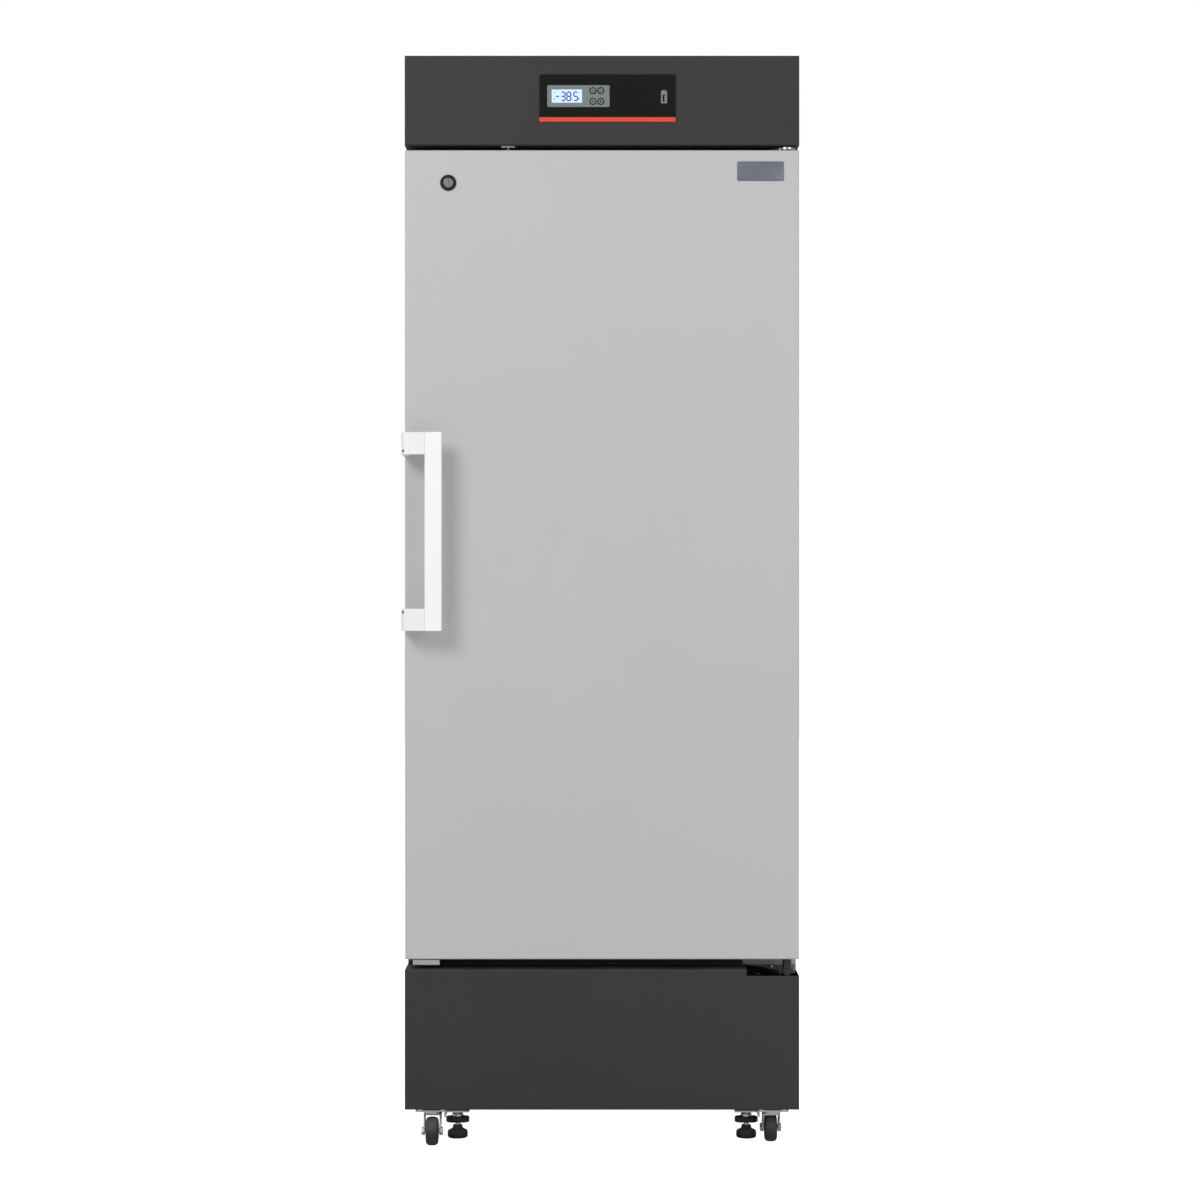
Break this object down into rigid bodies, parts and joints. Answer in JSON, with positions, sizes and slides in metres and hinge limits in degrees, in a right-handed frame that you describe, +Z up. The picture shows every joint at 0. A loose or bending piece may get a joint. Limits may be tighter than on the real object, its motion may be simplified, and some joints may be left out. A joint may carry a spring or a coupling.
{
  "type": "biomedical freezer",
  "caption": "Upright low-temperature laboratory freezer with a single insulated door, side handle, key lock, top control panel, casters and levelling feet.",
  "frame": {"origin": "centre of the base at floor level", "axes": "+Z up, -Y towards the door side, +X to the right as seen from the front"},
  "size_m": [0.6935, 0.772, 1.913],
  "materials": {
    "door_paint": "satin light grey powder coat",
    "cabinet_paint": "satin light grey powder coat",
    "dark_paint": "fine textured dark grey powder coat",
    "black_paint": "semi gloss black",
    "galvanised": "galvanised sheet",
    "zinc_plate": "bright zinc plated",
    "lock_chrome": "polished",
    "foam": "rigid polyurethane foam",
    "liner_white": "smooth white",
    "door_liner_white": "smooth white",
    "gasket_rubber": "soft magnetic gasket",
    "bezel_black": "gloss black",
    "strip_red": "gloss",
    "controller_grey": "fine matt",
    "display_glass": "backlit window",
    "button_grey": "matt",
    "board_green": "circuit board",
    "shelf_aluminium": "roll bonded plate",
    "fin_aluminium": "thin fins",
    "copper_pipe": "copper tube",
    "handle_aluminium": "pale satin anodised",
    "handle_cast": "pale satin",
    "caster_tread": "black",
    "foot_rubber": "black",
    "black_plastic": "black moulded",
    "bush_nylon": "natural nylon"
  },
  "bodies": {
    "cabinet": {"side_panel_left": "cabinet_paint", "side_panel_right": "cabinet_paint", "roof_panel": "cabinet_paint", "back_panel": "galvanised", "foam_insulation": "foam", "inner_liner": "liner_white", "front_frame": "cabinet_paint", "top_fascia": "dark_paint", "control_bezel": "bezel_black", "accent_strip": "strip_red", "controller_face": "controller_grey", "display_window": "display_glass", "usb_port": "controller_grey", "control_board": "board_green", "lower_panel": "dark_paint", "hinge_top_bracket": "zinc_plate", "hinge_bottom_bracket": "black_paint", "door_switch": "zinc_plate", "door_rest_plate": "zinc_plate", "base_frame": "galvanised", "compressor": "black_paint", "condenser": "fin_aluminium", "fan_shroud": "galvanised", "fan_motor": "black_paint", "refrigerant_pipes": "copper_pipe", "rear_grille": "galvanised", "access_port": "black_plastic", "power_inlet": "black_plastic", "evaporator_shelf_1": "shelf_aluminium", "evaporator_shelf_2": "shelf_aluminium", "evaporator_shelf_3": "shelf_aluminium", "evaporator_shelf_4": "shelf_aluminium", "caster_brackets": "zinc_plate"},
    "door": {"door_skin": "door_paint", "door_liner": "door_liner_white", "door_foam": "foam", "door_gasket": "gasket_rubber", "handle_bar": "handle_aluminium", "handle_brackets": "handle_cast", "hinge_bushes": "bush_nylon", "lock_housing": "lock_chrome"},
    "lock_plug": {"lock_plug": "lock_chrome"},
    "lock_bolt": {"lock_bolt": "lock_chrome"},
    "condenser_fan": {"condenser_fan": "black_plastic"},
    "caster_fork_front_left": {"caster_fork_front_left": "zinc_plate"},
    "caster_wheel_front_left": {"caster_wheel_front_left": "caster_tread"},
    "caster_fork_front_right": {"caster_fork_front_right": "zinc_plate"},
    "caster_wheel_front_right": {"caster_wheel_front_right": "caster_tread"},
    "caster_fork_rear_left": {"caster_fork_rear_left": "zinc_plate"},
    "caster_wheel_rear_left": {"caster_wheel_rear_left": "caster_tread"},
    "caster_fork_rear_right": {"caster_fork_rear_right": "zinc_plate"},
    "caster_wheel_rear_right": {"caster_wheel_rear_right": "caster_tread"},
    "foot_pad_left": {"foot_pad_left": "foot_rubber"},
    "foot_screw_left": {"foot_screw_left": "black_plastic"},
    "foot_pad_right": {"foot_pad_right": "foot_rubber"},
    "foot_screw_right": {"foot_screw_right": "black_plastic"},
    "button_1": {"button_1": "button_grey"},
    "button_2": {"button_2": "button_grey"},
    "button_3": {"button_3": "button_grey"},
    "button_4": {"button_4": "button_grey"}
  },
  "joints": [
    {"name": "door_hinge", "type": "hinge", "parent": "cabinet", "child": "door", "pos_m": [0.325, -0.314, 1.039], "axis": [0, 0, 1], "range_deg": [0, 120]},
    {"name": "lock_turn", "type": "hinge", "parent": "door", "child": "lock_plug", "pos_m": [-0.269, -0.325, 1.69], "axis": [0, -1, 0], "range_deg": [0, 90]},
    {"name": "lock_bolt_slide", "type": "slide", "parent": "door", "child": "lock_bolt", "axis": [0, 0, 1], "range_m": [0, 0.0161]},
    {"name": "condenser_fan_spin", "type": "hinge", "parent": "cabinet", "child": "condenser_fan", "pos_m": [0.15, 0.268, 0.173], "axis": [0, 1, 0], "continuous": true},
    {"name": "caster_swivel_front_left", "type": "hinge", "parent": "cabinet", "child": "caster_fork_front_left", "pos_m": [-0.299, -0.291, 0.055], "axis": [0, 0, 1], "continuous": true},
    {"name": "caster_roll_front_left", "type": "hinge", "parent": "caster_fork_front_left", "child": "caster_wheel_front_left", "pos_m": [-0.299, -0.307, 0.025], "axis": [1, 0, 0], "continuous": true},
    {"name": "caster_swivel_front_right", "type": "hinge", "parent": "cabinet", "child": "caster_fork_front_right", "pos_m": [0.299, -0.291, 0.055], "axis": [0, 0, 1], "continuous": true},
    {"name": "caster_roll_front_right", "type": "hinge", "parent": "caster_fork_front_right", "child": "caster_wheel_front_right", "pos_m": [0.299, -0.275, 0.025], "axis": [1, 0, 0], "continuous": true},
    {"name": "caster_swivel_rear_left", "type": "hinge", "parent": "cabinet", "child": "caster_fork_rear_left", "pos_m": [-0.299, 0.334, 0.055], "axis": [0, 0, 1], "continuous": true},
    {"name": "caster_roll_rear_left", "type": "hinge", "parent": "caster_fork_rear_left", "child": "caster_wheel_rear_left", "pos_m": [-0.299, 0.318, 0.025], "axis": [1, 0, 0], "continuous": true},
    {"name": "caster_swivel_rear_right", "type": "hinge", "parent": "cabinet", "child": "caster_fork_rear_right", "pos_m": [0.299, 0.334, 0.055], "axis": [0, 0, 1], "continuous": true},
    {"name": "caster_roll_rear_right", "type": "hinge", "parent": "caster_fork_rear_right", "child": "caster_wheel_rear_right", "pos_m": [0.299, 0.318, 0.025], "axis": [1, 0, 0], "continuous": true},
    {"name": "foot_height_left", "type": "slide", "parent": "cabinet", "child": "foot_pad_left", "axis": [0, 0, 1], "range_m": [-0.01, 0.005]},
    {"name": "foot_screw_turn_left", "type": "hinge", "parent": "foot_pad_left", "child": "foot_screw_left", "pos_m": [-0.258, -0.241, 0.03], "axis": [0, 0, 1], "range_deg": [-2401, 1201]},
    {"name": "foot_height_right", "type": "slide", "parent": "cabinet", "child": "foot_pad_right", "axis": [0, 0, 1], "range_m": [-0.01, 0.005]},
    {"name": "foot_screw_turn_right", "type": "hinge", "parent": "foot_pad_right", "child": "foot_screw_right", "pos_m": [0.258, -0.241, 0.03], "axis": [0, 0, 1], "range_deg": [-2401, 1201]},
    {"name": "button_1_press", "type": "slide", "parent": "cabinet", "child": "button_1", "axis": [0, 1, 0], "range_m": [0, 0.001], "stiffness_N_per_m": 800, "springref_m": -0.0002},
    {"name": "button_2_press", "type": "slide", "parent": "cabinet", "child": "button_2", "axis": [0, 1, 0], "range_m": [0, 0.001], "stiffness_N_per_m": 800, "springref_m": -0.0002},
    {"name": "button_3_press", "type": "slide", "parent": "cabinet", "child": "button_3", "axis": [0, 1, 0], "range_m": [0, 0.001], "stiffness_N_per_m": 800, "springref_m": -0.0002},
    {"name": "button_4_press", "type": "slide", "parent": "cabinet", "child": "button_4", "axis": [0, 1, 0], "range_m": [0, 0.001], "stiffness_N_per_m": 800, "springref_m": -0.0002}
  ],
  "couplings": [
    {"joint": "lock_bolt_slide", "follows": "lock_turn", "m_per_rad": 0.010186},
    {"joint": "foot_screw_turn_left", "follows": "foot_height_left", "rad_per_m": 4188.8},
    {"joint": "foot_screw_turn_right", "follows": "foot_height_right", "rad_per_m": 4188.8}
  ]
}
